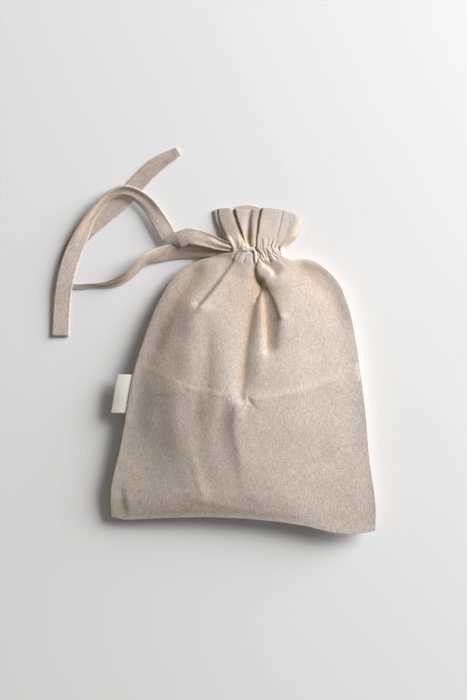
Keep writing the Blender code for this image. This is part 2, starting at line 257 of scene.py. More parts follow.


# Plain weave: each crossing is a pillow, a power of |sin x sin y| a thread apart, uneven by noises along the
# threads. They mix its two tones too, then come warm and grey patches, ridges lighter as wear, and painted
# shade: browner steep sides, darker and browner hollows, and the same along the seams, partly a dark seam
# line.
# Glow is how much light shines through.
def linenFinish(name, glow=0.0):
    finish = Finish(name)
    place, sideways, along = finish.clothPlace()
    wave = math.pi / (linen["pitch"] * millimetre)
    wander = finish.noise(place, linen["wanderNoise"]) * (linen["wander"] * millimetre)
    pillow = ((sideways + wander) * wave).math("SINE") * ((along + wander) * wave).math("SINE")
    weave = pillow.math("ABSOLUTE") ** linen["pillowPower"]
    weft = finish.noise(place, linen["weftNoise"])
    warp = finish.noise(place, linen["warpNoise"])
    speck = finish.noise(place, linen["speckNoise"], 1.0)
    patch = finish.noise(place, linen["patchNoise"], 3.0)
    threads = (weft * linen["weftShare"] + warp * (1 - linen["weftShare"]) - 0.5) * linen["contrast"]
    fibre = threads + speck + (weave - linen["weaveMean"]) * linen["weaveShade"]
    warm = ((patch - linen["warmFrom"]) * linen["warmRise"]).clamped() * linen["patchShare"]
    grey = ((linen["greyFrom"] - patch) * linen["greyRise"]).clamped() * linen["patchShare"]
    colour = finish.mixColour(fibre.clamped(), linen["dark"], linen["light"])
    colour = finish.mixColour(warm, colour, linen["warm"])
    colour = finish.mixColour(grey, colour, linen["grey"])
    # This mark is above zero on ridges, made lighter as wear, and below zero in hollows and along the seams,
    # made darker as painted shade (along the seams partly a dark seam line).
    wear = finish.attribute("wear")
    shade = (wear * linen["wearShade"] + 1.0).clamped(0.0, linen["brightest"])
    shades = finish.node("CombineColor", {}, {"Red": shade, "Green": shade, "Blue": shade})
    colour = finish.mixColour(1.0, colour, shades, "MULTIPLY")
    # Painted shade: steep sides are tinted browner, and hollows and seam edges browner still.
    colour = finish.mixColour(finish.attribute("steep"), colour, linen["steep"], "MULTIPLY")
    colour = finish.mixColour((wear * -1.0).clamped(), colour, linen["shadeTint"], "MULTIPLY")
    height = (weave * linen["weaveBump"] + weft * linen["weftBump"] + warp * linen["warpBump"]
              + speck * linen["speckBump"])
    rough = linen["roughness"] + (weave - 0.5) * linen["roughnessSpread"]
    return finish.feed(Base_Color=colour, Roughness=rough, Normal=finish.bump(height, linen),
                       Sheen_Weight=linen["sheen"], Sheen_Roughness=linen["sheenRoughness"],
                       Specular_IOR_Level=linen["specular"], Subsurface_Weight=glow,
                       Subsurface_Radius=linen["glowRadius"],
                       Subsurface_Scale=linen["glowDepth"] * millimetre)


tape = {"light": (0.93, 0.915, 0.84, 1), "dark": (0.86, 0.84, 0.76, 1), "pitch": 0.42, "threadRate": 0.8,
        "unevenNoise": (900, 140, 1), "ribShare": 0.35, "threadShare": 0.25, "unevenShare": 0.5,
        "threadBump": 0.5, "bumpStrength": 0.35, "bumpDepth": 0.15, "roughness": 0.8, "sheen": 0.15}


# Label tape: ribs across it, the |sine| of the way along, over finer threads, a little uneven.
def tapeFinish():
    finish = Finish("cream_tape")
    place, sideways, along = finish.clothPlace()
    wave = math.pi / (tape["pitch"] * millimetre)
    ribs = (along * wave).math("SINE").math("ABSOLUTE")
    threads = (sideways * (wave * tape["threadRate"])).math("SINE").math("ABSOLUTE")
    uneven = finish.noise(place, tape["unevenNoise"])
    share = ribs * tape["ribShare"] + threads * tape["threadShare"] + uneven * tape["unevenShare"]
    colour = finish.mixColour(share.clamped(), tape["dark"], tape["light"])
    normal = finish.bump(ribs + threads * tape["threadBump"], tape)
    return finish.feed(Base_Color=colour, Roughness=tape["roughness"], Normal=normal,
                       Sheen_Weight=tape["sheen"])


thread = {"light": (0.66, 0.60, 0.54, 1), "dark": (0.528, 0.48, 0.432, 1), "plyNoise": (2400, 2400, 2400),
          "roughness": 0.6, "sheen": 0.1}


# Sewing thread: two tones mixed by a fine noise, as its plies show.
def threadFinish():
    finish = Finish("sewing_thread")
    place = finish.node("TexCoord", {}, {}, "Object")
    ply = finish.noise(place, thread["plyNoise"], 1.0)
    colour = finish.mixColour(ply, thread["dark"], thread["light"])
    return finish.feed(Base_Color=colour, Roughness=thread["roughness"], Sheen_Weight=thread["sheen"])


ground = {"light": (0.81, 0.82, 0.835, 1), "dark": (0.7857, 0.7954, 0.80995, 1), "cloudNoise": (3, 3, 3),
          "roughness": 0.55, "size": 6.0, "drop": 0.0002}


# Pale floor: two near tones, clouded by a broad noise.
def floorFinish():
    finish = Finish("pale_floor")
    place = finish.node("TexCoord", {}, {}, "Object")
    cloud = finish.noise(place, ground["cloudNoise"], 4.0)
    colour = finish.mixColour(cloud, ground["dark"], ground["light"])
    return finish.feed(Base_Color=colour, Roughness=ground["roughness"])


# Joins a grid of points, rows by columns, with quads. Closed joins its last column to its first.
def gridFaces(rows, columns, closed=False):
    row, side = np.meshgrid(np.arange(rows - 1), np.arange(columns if closed else columns - 1), indexing="ij")
    nextSide = (side + 1) % columns
    return np.stack((row * columns + side, row * columns + nextSide, (row + 1) * columns + nextSide,
                     (row + 1) * columns + side), axis=-1).reshape(-1, 4)


steep = {"from": 0.985, "range": 0.09}  # in cosines: from 10 degrees on, and full at 27


# How far each point of a grid leans from level, 0 for nearly level and 1 for steep; it masks the painted
# shade on steep sides.
def steepness(points):
    normal = np.cross(np.gradient(points, axis=1), np.gradient(points, axis=0))
    level = np.abs(normal[..., 2]) / np.maximum(np.linalg.norm(normal, axis=-1), 1e-12)
    return np.clip((steep["from"] - level) / steep["range"], 0, 1)


# A mesh from points and faces, with its finish, the cloth's own measure and any marks at its points.
def meshPiece(name, points, faces, finish, uv=None, **marks):
    mesh = bpy.data.meshes.new(name)
    mesh.from_pydata(points.reshape(-1, 3).tolist(), [], faces.tolist())
    if uv is not None:
        corners = np.empty(len(mesh.loops), dtype=np.int32)
        mesh.loops.foreach_get("vertex_index", corners)
        layer = mesh.uv_layers.new(name="cloth")
        layer.data.foreach_set("uv", uv.reshape(-1, 2)[corners].astype(np.float32).ravel())
    for mark, values in marks.items():
        layer = mesh.attributes.new(mark, "FLOAT", "POINT")
        layer.data.foreach_set("value", values.astype(np.float32).ravel())
    mesh.shade_smooth()
    mesh.materials.append(finish)
    return addObject(name, mesh)


# A wall of this thickness, half to each side of the surface.
def thicken(piece, thickness):
    solidify = piece.modifiers.new("Thickness", "SOLIDIFY")
    solidify.thickness = thickness * millimetre
    solidify.offset = 0.0


# The two panels: their sizes, edges, mesh rows, wear and painted shade.
bag = {
    "thickness": 0.7, "halfGap": 0.38, "flatWidth": 296.0, "flatLength": 352.0, "bandHead": 11, "mouth": 14,
    "hemArch": 4.0, "hemLip": 2.5, "hemRoll": 28.0, "hemPower": 2.4, "bedRoll": 42.0, "bedPower": 2.0,
    "bedMean": 0.5, "seamFlat": 7.0, "seamPower": 1.6, "partingReach": 9.0, "partingEase": 8.0,
    "edgeLineReach": 2, "floorGap": 0.05, "bunchShare": 0.75, "foldsFade": (8.8, 9.9),
    "crumples": ((21, 26, 0.2, 3), (9, 11, 0.1, 4)), "wearDepth": 3.2, "seamLineAndShade": 0.6,
    "columnZones": ((-1.0, -0.45, 0.4, 1.0), (0, 52, 152, 198)), "backZones": ((-1.0, 1.0), (0, 110)),
    "rows": (14, 16, 17, 18, 18, 21, 22, 22, 18, 18, 20, 18, 9, 8),
    "backRows": (12, 10, 10, 10, 10, 10, 10, 10, 10, 8, 8, 8, 6, 6), "seamShade": (0.3, 1.6),
    "rimInset": 0.9975, "rimStep": 0.012,
}

# Where the side seams are, from the hem to the mouth, how far the cloth sags between them, how high the back
# lies and how much it is gathered.
sections = {"columns": ("name", "leftX", "leftY", "rightX", "rightY", "sag", "bed", "gather"), "rows": (
    ("hem",         -143, -129, 147.5, -143.5,  0, 0.5,  0.0),
    ("lower",       -143,  -97, 147.5,   -112,  0, 0.5,  0.0),
    ("low",         -133,  -53,   141,    -65,  0, 0.5,  0.0),
    ("belly",       -126,  -14,   137,    -20,  0, 0.5,  0.0),
    ("crease",      -119,   26, 131.5,     26,  0, 0.5,  0.0),
    ("upper",       -107,   66, 125.5,     66,  6, 0.5,  0.0),
    ("high",         -92,  105,   118,    101, 15, 0.5,  0.0),
    ("shoulder",     -73,  137,   105,    131, 21, 0.6,  0.0),
    ("turn",         -48,  153,    82,    151, 20, 0.9, 0.05),
    ("throat",       -23,  160,    61,    156,  9, 1.6, 0.45),
    ("bandFoot",     -12,  163,    50,    158,  1, 2.2,  1.0),
    ("bandHead",     -14,  172,  48.5,    167, -1, 2.2,  0.9),
    ("ruffleFoot", -22.5,  186,  60.5,    178, -3, 1.1,  0.0),
    ("ruffle",       -28,  199,  66.5,    188, -6, 0.6,  0.0),
    ("mouth",        -30,  210,    70,    196, -8, 0.5,  0.0),
)}

# The front's height on the same lines, at ten places from the left seam at -1 to the right seam at 1.
form = {"across": (-1.0, -0.9, -0.76, -0.6, -0.45, -0.1, 0.3, 0.7, 0.93, 1.0), "rows": (
    ("hem",         7.5, 10.5, 13.5, 16.0, 17.5, 18.5, 17.5, 14.0, 13.0, 13.0),
    ("lower",      11.5, 13.0, 15.5, 18.0, 20.0, 21.0, 19.5, 15.5, 15.0, 15.0),
    ("low",        12.5, 14.0, 17.0, 21.5, 24.5, 27.5, 23.0, 17.5, 15.0, 14.8),
    ("belly",      13.0, 15.0, 20.5, 25.0, 28.0, 32.0, 28.0, 20.5, 17.0, 16.5),
    ("crease",     14.0, 16.5, 21.5, 26.0, 28.5, 31.0, 30.0, 23.0, 19.0, 18.5),
    ("upper",      12.5, 15.5, 20.5, 24.5, 27.0, 28.5, 28.5, 22.5, 19.0, 18.5),
    ("high",       10.5, 14.5, 18.5, 23.5, 25.0, 25.5, 27.0, 21.5, 18.5, 18.0),
    ("shoulder",    7.5, 11.5, 14.5, 19.0, 21.0, 22.5, 24.5, 20.0, 17.5, 16.5),
    ("turn",        7.0, 11.0, 14.0, 17.0, 18.5, 19.5, 20.0, 18.0, 16.0, 15.0),
    ("throat",      7.0, 11.5, 14.0, 16.0, 17.0, 17.5, 17.5, 16.0, 13.5, 10.5),
    ("bandFoot",    6.5, 11.0, 13.5, 15.0, 15.2, 15.4, 15.4, 14.8, 12.0,  7.5),
    ("bandHead",    5.0, 10.0, 12.0, 13.5, 14.0, 14.2, 14.2, 13.6, 11.0,  6.0),
    ("ruffleFoot",  2.6,  5.2,  6.8,  8.0,  9.2, 10.8, 11.4, 11.4, 10.4,  7.0),
    ("ruffle",      1.4,  3.0,  4.2,  5.2,  6.2,  8.0,  9.0,  9.2,  8.8,  6.6),
    ("mouth",       1.2,  2.2,  3.2,  4.0,  4.8,  6.4,  7.4,  7.6,  7.2,  5.6),
)}

# How far the hem's and the mouths' edges stand off the straight line between the seams, at stations across.
hemLine = ((-1.0, 0), (-0.9, -2.5), (-0.48, 3.5), (-0.23, 6.0), (0.04, 6.0), (0.27, 4.5), (0.49, 1.0),
           (0.65, -4.0), (0.79, -5.5), (0.92, -3.0), (1.0, 0))
mouthLine = ((-1.0, 0), (-0.85, 0.5), (-0.6, -0.5), (-0.45, -2.5), (-0.05, -2.0), (0.1, 2.0), (0.52, 4.0),
             (0.75, 4.5), (0.9, 2.5), (1.0, 0))
backMouthLine = ((-1.0, 0), (-0.6, 0.5), (-0.4, 2.5), (-0.2, 3.5), (0.0, 2.0), (0.3, 1.5), (0.6, 3.0),
                 (1.0, 0))

# Folds of the front: shallow arcs whose middle swings to the left. A row gives its start and end, that swing,
# the height at both, up for a ridge and down for a trough, the bell's width to the left and right, how far it
# fades past its ends, and how sharp its top is, 2 for a round one.
folds = {"topRound": 0.02, "topDrop": 0.14, "rows": (
    ("leftPleat",      -9,  151,  -45,  104,  1.2,  0.4,  1.4,    9,  1.5,  6, 1.6),
    ("leftCrease",    -10,  151,  -45,  105,  1.2,   -1, -2.6,  1.3,    6,  5, 1.3),
    ("leftHollow",    -51,  141,  -92,   60, -4.5, -1.9, -1.2,    7,    8, 10, 1.9),
    ("leftRidge",     -52,  101,  -58,   17, -2.5,  1.2,  0.8,   10,   12, 14, 1.9),
    ("softTrough",    -35,   67,  -37,   10,    0, -0.5, -0.5,  4.5,  6.5, 12, 1.9),
    ("broadRidge",     -7,  145,  -20,   -3,  0.5, -1.2,    2,   15,   13, 14,   2),
    ("centreCrease",   15,  148,   21,  129,   -2, -1.6, -3.6,  1.6,  4.5,  3, 1.4),
    ("centreTurn",     23,  129,   17,  110,    1, -2.2, -1.4,  1.5,  2.2,  3, 1.5),
    ("centreBranch", 19.5,  127,  1.5,    4, -3.8, -3.6,   -2,  6.5, 10.5,  8, 1.3),
    ("centreRidge",    25,  108,   22,   36,    1,  0.6,  0.4,  4.5,    7, 12,   2),
    ("rightWedge",   25.5,  118,   29,   58,  1.2, -4.6, -3.2,   14,    5,  8, 1.4),
    ("wedgeLip",       25,  130,   43,   92,    2,  0.8,  1.6,    9,  2.2,  3, 1.6),
    ("wedgeLipLow",    44,   89,   40,   54,  0.5,  1.4,  0.6,    9,  4.5,  5, 1.7),
    ("rightLip",     24.5,  155,   41,  137,  2.2,  0.9,  0.5,  4.5,    6,  8, 1.7),
    ("neckPit",        28,  149,   37,  140,    1, -3.2, -2.8,  7.5,    3,  4, 1.8),
    ("shoulderFold",   69,  145,  106,   92,  7.5, -2.2,   -1,    9,   12, 14, 1.8),
    ("shoulderLip",    71,  151,   94,  125,    1,  0.6,  0.2,    5,    5,  6, 1.7),
    ("creaseLeft",   -120,   35,   -8,    7,  -10, -0.2,  0.6,  3.6,   13,  6, 1.6),
    ("creaseRight",    13,    0,  129,   35,   -5,  0.8,  1.3,  4.5,   13,  6, 1.6),
    ("lineLeft",     -111,   39,  -57,   14, -0.5,  0.2,  0.3,  1.4,  1.4,  4, 1.7),
    ("lineMid",       -57,   14,  -16,  3.5,  0.5,  0.4,  0.3,  1.4,  1.4,  4, 1.7),
    ("lineRight",      10,    2,   98,   21,   -4,  0.3,  0.4,  1.5,  1.5,  4, 1.7),
    ("lowWedge",      -18,  -10,   -5,  -84, -7.5,   -2, -0.2,  8.5,  9.5, 14, 1.8),
    ("lowLip",       -3.5,   -4,   -3,  -51, -4.5,  0.8,  0.3,    6,  3.2,  5, 1.6),
    ("lowLipEnd",      -3,  -54,    1,  -92,    0,  0.3,  0.2,    6,  3.2,  6, 1.7),
    ("spotRidge",       5,    6,    0,  -14,    1,    1,  0.4,    3,    5,  6, 1.8),
    ("spotGap",       8.5,    1,   15,   -9,    0, -0.8, -0.4,  1.8,  1.8,  3, 1.7),
    ("lowCurl",       -73,   10,  -48, -106,   -6,  1.3,  0.5, 10.5, 12.5, 14, 1.9),
    ("lowRidge",      -57,  -44,  -42, -102,   -1,  0.3,  0.4,    5,  3.5, 10, 1.8),
    ("lowTrough",     -47,    0,  -42,  -34,   -2, -0.6, -0.3,    5,    6, 10, 1.9),
    ("hemFold",       -38, -112,   62, -126,   -2,  0.4,  0.4,    4,  2.6, 10, 1.7),
    ("faintCrease",    80,  -69,  119,  -52,    2, -0.6, -0.3,    2,  4.2,  8, 1.4),
    ("cornerTuck",   -131, -102, -127, -129,    0, -0.8, -1.8,  2.5,    9,  8, 1.7),
)}

# Cloth bunched where the tie comes out, in rows as the folds' are but on the band itself.
bunches = (
    ("knot",          2.2, 168.3, -4.4, 155.1,    0,  0.6,  0.8,   6,   6,   4, 2.2),
    ("knotFold",     -6.6, 161.7, -9.9, 152.9,    0, -0.9, -1.2, 0.9, 0.8, 1.5, 1.6),
    ("knotWrinkle",  -1.1, 160.1, -4.4, 154.6,    0, -0.6, -0.5, 0.8, 0.8, 1.5, 1.6),
    ("knotPit",       4.7, 155.9,  2.4, 151.8,    0, -1.2, -1.6, 0.9, 0.8,   1, 1.7),
    ("arch",          2.8, 164.5, 11.6, 166.1, -0.8,    1,  0.9, 1.3, 1.2, 1.5, 1.8),
    ("archPit",       9.7, 163.2, 12.3, 162.4,    0,   -2,   -2, 0.9, 0.9,   1, 1.8),
    ("hollowEnd",     9.1, 172.7,  9.7, 168.3,    0, -1.2, -2.2, 1.8, 1.8, 1.2,   2),
    ("ribSlit",      16.9,   176, 16.1, 167.8,    0, -0.9, -2.2, 0.8, 0.8, 1.2, 1.6),
    ("neckHole",     15.7, 167.2, 16.3, 164.3,    0, -3.2,   -3, 1.1,   1,   1, 1.8),
    ("holeTail",     17.2, 164.5, 20.9, 159.9,    0, -2.2, -1.3,   1, 0.9, 1.2, 1.7),
    ("centreRope",   15.1, 163.9, 15.8, 153.5,    0,  0.9,  0.8, 1.1,   1, 1.5, 1.8),
    ("ropeLeft",     12.8, 161.2, 13.5, 151.8,    0, -0.9, -1.6, 0.9, 0.9, 1.5, 1.7),
    ("ropeRight",    18.5, 154.6, 16.4, 148.5,    0, -0.8, -1.2, 0.9, 0.9, 1.5, 1.7),
    ("fanFirst",     22.7, 175.7, 23.2, 169.4,    0, -0.6, -0.8, 0.9, 0.8, 1.6, 1.7),
    ("fanSecond",    29.5, 175.3,   29, 169.4,    0, -0.3, -0.6, 0.9, 0.9, 2.4, 1.7),
    ("fanThird",     34.1, 176.4, 32.6, 168.3,    0, -0.3, -0.7, 0.9, 0.9, 2.4, 1.7),
    ("fanFourth",    39.9, 178.2, 34.8, 167.8,    0, -0.6,   -1, 0.9, 0.9,   2, 1.7),
    ("fanSwell",     26.2, 174.9,   26, 167.2,    0,  0.5,  0.6, 1.6, 1.6,   2,   2),
    ("fanSwellTwo",  36.9,   176, 33.9, 168.3,    0,  0.4,  0.6, 1.2, 1.2,   2,   2),
    ("bandFirst",      19, 158.6, 24.2, 150.7, -0.4, -0.9, -1.1, 0.9, 0.8, 1.3, 1.7),
    ("bandSecond",   23.9, 164.1, 27.1, 155.8,  0.2, -0.7, -1.2, 0.8, 0.8, 1.2, 1.7),
    ("bandThird",    28.6, 160.1, 32.1, 152.4, -0.2, -0.9, -1.5, 0.9, 0.9, 1.2, 1.7),
    ("bandFourth",   32.5,   165, 36.9, 156.2,    0, -0.6, -0.7, 0.8, 0.8, 1.5, 1.7),
    ("bandFifth",      37, 160.6, 39.6, 153.5,    0, -0.6, -0.6, 0.9, 0.8, 1.5, 1.7),
    ("bandSixth",    40.9, 167.2, 43.2, 159.9,    0, -1.1, -0.9, 0.9, 0.9, 1.2, 1.7),
    ("bandSwell",    21.5, 163.9, 28.1, 153.5,    0,  0.5,  0.6, 1.4, 1.3,   2,   2),
    ("bandSwellTwo",   30, 165.6, 35.8, 154.6,    0,  0.5,  0.5, 1.4, 1.4,   2,   2),
    ("lobeUnder",    41.4,   167, 57.8,   178,    0, -2.6, -2.2, 1.8, 1.8,   2, 1.8),
)

# Pleats of the header: where each lies across the band and the mouth, how deep it is at each, its width to
# the left and right, how far its bottom leans right, and how high and wide the cloth there laps over it.
pleats = {"point": 1.7, "deep": 2, "starts": (-0.3, 0.6), "lapRise": (0.08, 0.45), "lapPoint": 1.3, "rows": (
    ("edgeTuck",    -0.96, -0.93, 1.2, 1.4, 0.8,   1, 0.1, 0.4,  3),
    ("leftSlit",    -0.41, -0.55, 1.9, 2.4,   3, 0.6, 0.2, 0.8, 10),
    ("panelHollow", -0.28, -0.18,   5, 1.3, 4.5, 2.2,   0,   0,  1),
    ("middleSlit",  -0.05,  0.06,   1, 2.2, 2.2, 0.6, 0.2,   1, 14),
    ("panelCrease",  0.49,  0.53, 0.3, 0.3, 1.2, 0.9, 0.1, 0.2,  8),
)}

# The gather at the band: its humps, their slant below it, how uneven they are, and the band's swell.
gather = {
    "count": 12.5, "height": 1.9, "phase": 0.6, "slant": 0.35, "slantReach": 1.5, "frontShare": 0.12,
    "backShare": 0.5, "shift": ((0.035, 9, 0), (0.014, 31, 2)), "uneven": ((0.35, 11, 1), (0.2, 23, 0)),
    "humpHeight": 1.3, "humpDrop": 0.6, "valleyDepth": 0.9, "valleyWidth": 0.28, "valleyPoint": 1.5,
    "bandSwell": 0.5, "bandBelow": 0.5, "bandWidth": 0.6,
}

# Where the left seam is open: from and to along Y, and half the opening.
partings = (("label", -20, 35, 1.0), ("tieMouth", 162, 176, 4.4))


# Plan place: a straight line between the seams, hung by the sag, with the hem's or mouth's own line near it.
def planPoints(across, place, mouthEdge=mouthLine):
    leftX, leftY, rightX, rightY, sag = curves(sections, "leftX leftY rightX rightY sag", place)
    share = (across + 1) / 2
    nearHem = 1 - smoothStep(0, bag["edgeLineReach"], place)
    nearMouth = smoothStep(bag["mouth"] - bag["edgeLineReach"], bag["mouth"], place)
    edges = tableLine(hemLine, across) * nearHem + tableLine(mouthEdge, across) * nearMouth
    y = leftY + (rightY - leftY) * share - sag * (1 - across ** 2) + edges
    return leftX + (rightX - leftX) * share, y


# The form's ten columns, each a smooth curve from the hem to the mouth.
def formHeights(place):
    heights = np.array([row[1:] for row in form["rows"]], dtype=float)
    return np.stack([curveThrough(heights[:, station], place) for station in range(heights.shape[1])])


# A cubic from station to station across the cloth, whose slope at each is the mean one there.
def formHeight(across, place):
    stations, heights = np.array(form["across"]), formHeights(place)
    slopes = np.gradient(heights, stations, axis=0)
    index = np.clip(np.searchsorted(stations, across, side="right") - 1, 0, len(stations) - 2)
    width = stations[index + 1] - stations[index]
    part = (across - stations[index]) / width
    start, end = (np.take_along_axis(heights, (index + step)[None], 0)[0] for step in (0, 1))
    out, into = (np.take_along_axis(slopes, (index + step)[None], 0)[0] * width for step in (0, 1))
    return ((1 + 2 * part) * (1 - part) ** 2 * start + part ** 2 * (3 - 2 * part) * end
            + part * (1 - part) ** 2 * out + part ** 2 * (part - 1) * into)


# The seam between the panels: straight from the left side's height to the right side's, arched up at the hem.
def seamHeight(across, place):
    heights = formHeights(place)
    arch = bag["hemArch"] * (1 - across ** 2) * (1 - smoothStep(0, 1, place))
    return heights[0] + (heights[-1] - heights[0]) * (across + 1) / 2 + arch


# Half the space between the panels at their seams, which opens at the partings close to the left seam.
def edgeHalfGap(across, y, fromLeft):
    gap = np.full_like(y, bag["halfGap"])
    near = (across < 0) * (1 - smoothStep(0, bag["partingReach"], fromLeft))
    for name, low, high, halfGap in partings:
        ends = min(bag["partingEase"], (high - low) / 2)
        share = smoothStep(low - ends, low, y) * (1 - smoothStep(high, high + ends, y))
        gap = np.maximum(gap, bag["halfGap"] + (halfGap - bag["halfGap"]) * share * near)
    return gap


# From 0 at an edge to 1 at the roll's distance from it, steepest at the edge.
def rolled(distance, roll, power):
    return 1 - (1 - np.clip(distance / roll, 0, 1)) ** power


# One fold: its height times a bell across the arc, exp(-|aside / width| ** point), fading past the ends.
def foldHeight(fold, x, y):
    name, startX, startY, endX, endY, bow, startHeight, endHeight, left, right, fade, point = fold
    length = math.hypot(endX - startX, endY - startY)
    alongX, alongY = (endX - startX) / length, (endY - startY) / length
    along = (x - startX) * alongX + (y - startY) * alongY
    share = np.clip(along / length, 0, 1)
    aside = (y - startY) * alongX - (x - startX) * alongY - bow * 4 * share * (1 - share)
    past = np.maximum(-along, along - length).clip(0)
    bell = np.abs(aside / np.where(aside > 0, left, right))
    soft = np.sqrt(bell ** 2 + folds["topRound"]) - folds["topDrop"]
    return (startHeight + (endHeight - startHeight) * share) * np.exp(-soft ** point - (past / fade) ** 2)


# All the folds together, gone before the band.
def foldsHeight(x, y, place):
    body = 1 - smoothStep(*bag["foldsFade"], place)
    return body * sum(foldHeight(fold, x, y) for fold in folds["rows"])


# Round humps with sharp valleys between: the root of a |sine| less a narrow bell round each of its zeros.
def gatherHeight(across, place):
    share = easeThrough(column(sections, "gather"), place)
    below = np.clip(bag["bandHead"] - place, 0, gather["slantReach"])
    slanted = across * (1 - gather["slant"] * below) + sines(gather["shift"], across)
    wave = np.abs(np.sin(math.pi * gather["count"] * slanted / 2 + gather["phase"]))
    valley = gather["valleyDepth"] * np.exp(-(wave / gather["valleyWidth"]) ** gather["valleyPoint"])
    hump = gather["humpHeight"] * (np.sqrt(wave) - valley) - gather["humpDrop"]
    uneven = 1 + sines(gather["uneven"], across)
    band = np.exp(-((place - bag["bandHead"] + gather["bandBelow"]) / gather["bandWidth"]) ** 2)
    return share * gather["height"] * hump * uneven + gather["bandSwell"] * band


# Each pleat is a dip, a bell exp(-|aside / width| ** point) times its depth, and the cloth right of it rises
# towards the mouth to lap over it. Gives the height, and how far the cloth is pushed to the right.
def pleatsHeight(across, place, halfWidth):
    ruffle = smoothStep(*pleats["starts"], place - bag["bandHead"])
    toMouth = np.clip((place - bag["bandHead"]) / (bag["mouth"] - bag["bandHead"]), 0, 1)
    total, lean = np.zeros_like(across), np.zeros_like(across)
    for name, atBand, atMouth, bandDepth, mouthDepth, left, right, side, lap, lapWidth in pleats["rows"]:
        aside = (across - atBand - (atMouth - atBand) * toMouth) * halfWidth
        depth = mouthDepth + (bandDepth - mouthDepth) * (1 - toMouth) ** pleats["deep"]
        dip = depth * np.exp(-np.abs(aside / np.where(aside > 0, right, left)) ** pleats["point"])
        lapped = smoothStep(0, right, aside) * np.exp(-(aside.clip(0) / lapWidth) ** pleats["lapPoint"])
        total = total - dip + lap * smoothStep(*pleats["lapRise"], toMouth) * lapped
        lean = lean + dip * side
    return ruffle * total, ruffle * lean


# How far each point is in plan from the left seam, the right seam and the hem, and half the width there.
def edgeDistances(across, place):
    x, y = planPoints(across, place)
    leftX, rightX = (planPoints(np.full_like(across, side), place)[0] for side in (-1.0, 1.0))
    hemY = planPoints(across, np.zeros_like(place))[1]
    return x - leftX, rightX - x, np.maximum(y - hemY, 0), (rightX - leftX) / 2


# Front panel: the form rolled down to the hem, and folds, gather, tucks and a faint crumple, flat at seams.
def frontSurface(across, place):
    x, y = planPoints(across, place)
    fromLeft, fromRight, fromHem, halfWidth = edgeDistances(across, place)
    edge, gap = seamHeight(across, place), edgeHalfGap(across, y, fromLeft)
    hemRise = rolled((fromHem - bag["hemLip"]).clip(0), bag["hemRoll"], bag["hemPower"])
    tucks, lean = pleatsHeight(across, place, halfWidth)
    crumple = sum(high * latticeNoise(x / wide, y / tall, seed) for wide, tall, high, seed in bag["crumples"])
    bunched = bag["bunchShare"] * sum(foldHeight(fold, x, y) for fold in bunches)
    gathered = gatherHeight(across, place) * gather["frontShare"]
    detail = foldsHeight(x, y, place) + gathered + bunched + tucks + crumple
    flat = rolled(np.minimum(fromLeft, fromRight), bag["seamFlat"], bag["seamPower"])
    z = edge + gap + (formHeight(across, place) - edge) * hemRise + detail * flat * hemRise
    return x + lean * flat, y, z, detail


# Back panel: from the seams it rolls down to its bed on the table, gathered at the neck as the front is.
def backSurface(across, place):
    x, y = planPoints(across, place, backMouthLine)
    fromLeft, fromRight, fromHem, halfWidth = edgeDistances(across, place)
    sideRoll = np.minimum(bag["bedRoll"], halfWidth / 2)
    flat = (rolled(fromLeft, sideRoll, bag["bedPower"]) * rolled(fromRight, sideRoll, bag["bedPower"])
            * rolled(fromHem, bag["bedRoll"], bag["bedPower"]))
    edge = seamHeight(across, place) - edgeHalfGap(across, y, fromLeft)
    bed = easeThrough(column(sections, "bed"), place) + bag["thickness"] / 2 - bag["bedMean"]
    detail = -gatherHeight(across, place) * gather["backShare"]
    z = edge + (bed - edge + detail) * flat
    return x, y, np.maximum(z, bag["thickness"] / 2 + bag["floorGap"]), detail


# Places from the hem to the mouth, so many to each section.
def sectionPlaces(rows):
    starts = np.concatenate(([0], np.cumsum(rows)))
    return np.interp(np.arange(starts[-1] + 1), starts, np.arange(len(starts)))


# A panel from its surface, with denser columns and rows where its zones and rows say so. Thin outer strips
# keep the cut edge's shade at the edge. The detail's height marks ridges lighter as wear and hollows darker
# as painted shade, and the seams get painted shade and a dark seam line.
def makePanel(name, node, zones, rows, surface, finish):
    columns = zones[1][-1]
    across, place = np.interp(np.arange(columns + 1), zones[1], zones[0]), sectionPlaces(rows)
    across[[1, -2]] = -bag["rimInset"], bag["rimInset"]
    place[[1, -2]] = place[0] + bag["rimStep"], place[-1] - bag["rimStep"]
    across, place = np.meshgrid(across, place)
    x, y, z, detail = surface(across, place)
    points = np.stack((x, y, z), axis=-1) * millimetre
    # the flat cloth's own measure: straight across, and along by the length of the middle thread
    along = runLength(points[:, columns // 2])[:, None]
    uv = np.stack(np.broadcast_arrays(across * bag["flatWidth"] / 2 * millimetre, along), axis=-1)
    # Painted shade in the hollows and near the seams, partly a dark seam line; ridges lighter as wear.
    nearSeam = 1 - smoothStep(*bag["seamShade"], np.minimum(*edgeDistances(across, place)[:2]))
    wear = np.clip(detail / bag["wearDepth"] - bag["seamLineAndShade"] * nearSeam, -1, 1)
    piece = meshPiece(name, points, gridFaces(*across.shape), finish, uv, wear=wear, steep=steepness(points))
    thicken(piece, bag["thickness"])
    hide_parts(node)
    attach(piece, "root")
    return piece


# The tie: its section, ripples, waver, wear and painted shade.
tie = {
    "thickness": 1.1, "width": 18.5, "steps": 12, "around": 28, "facePower": 0.45, "edgePower": 0.75,
    "glow": 0.5, "lookAhead": 0.05, "floorGap": 0.05, "bunchFull": 0.5, "ripple": 1.5, "rippleWide": 5.2,
    "rippleTwist": 0.02, "rippleFrom": (2, 4), "waver": 0.25, "waverLong": 14, "waverWide": 1.2,
    "waverShift": 7, "waverSeed": 12, "waverFrom": 1, "edgeWear": 12, "faceWear": 0.2, "bunchShade": 0.2,
    "measureSteps": 2000,
}

